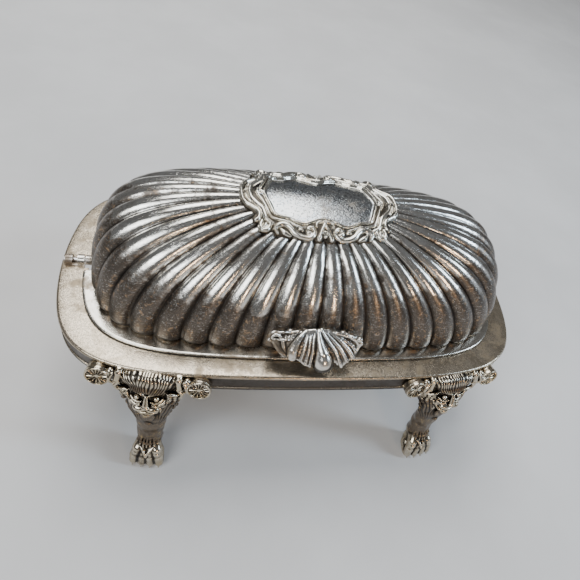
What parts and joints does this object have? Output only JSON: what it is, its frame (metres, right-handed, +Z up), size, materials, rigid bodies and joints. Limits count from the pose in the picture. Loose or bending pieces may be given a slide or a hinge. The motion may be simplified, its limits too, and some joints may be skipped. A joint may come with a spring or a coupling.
{
  "type": "footed roll-top butter dish",
  "caption": "Footed metal serving dish with a fluted half-round lid that rolls back under the tray on end pivots, a shell thumb piece and a lift-out glass liner.",
  "frame": {"origin": "on the surface the paws stand on, under the middle of the dish", "axes": "+X to the right along the dish, -Y towards the thumb piece in front, +Z up"},
  "size_m": [0.203, 0.132, 0.1081],
  "materials": {
    "tray_plate": "silver plate over brass, dulled and mottled with tarnish, edge worn bright",
    "lid_plate": "silver plate over brass, polished lobes with brown tarnish in the grooves",
    "cast_plate": "cast, silver plated, dark in the recesses",
    "ornament_plate": "cast, silver plated, bright high points and dark recesses",
    "fitting_plate": "silver plated small fittings, lightly tarnished",
    "pin_metal": "plain drawn pin",
    "liner_glass": "clear pressed glass"
  },
  "bodies": {
    "base": {"tray": "tray_plate", "foot_front_left": "cast_plate", "foot_front_right": "cast_plate", "foot_rear_left": "cast_plate", "foot_rear_right": "cast_plate", "pivot_bracket_left": "fitting_plate", "pivot_bracket_right": "fitting_plate", "pivot_pin_left": "pin_metal", "pivot_pin_right": "pin_metal"},
    "lid": {"lid_shell": "lid_plate", "lid_front_rim": "lid_plate", "lid_lug_left": "fitting_plate", "lid_lug_right": "fitting_plate", "cartouche": "ornament_plate", "thumb_piece": "ornament_plate"},
    "liner": {"glass_liner": "liner_glass"}
  },
  "joints": [
    {"name": "lid_roll", "type": "hinge", "parent": "base", "child": "lid", "pos_m": [0, 0, 0.0632], "axis": [-1, 0, 0], "range_deg": [0, 155]},
    {"name": "liner_lift", "type": "slide", "parent": "base", "child": "liner", "axis": [0, 0, 1], "range_m": [0, 0.012]}
  ]
}
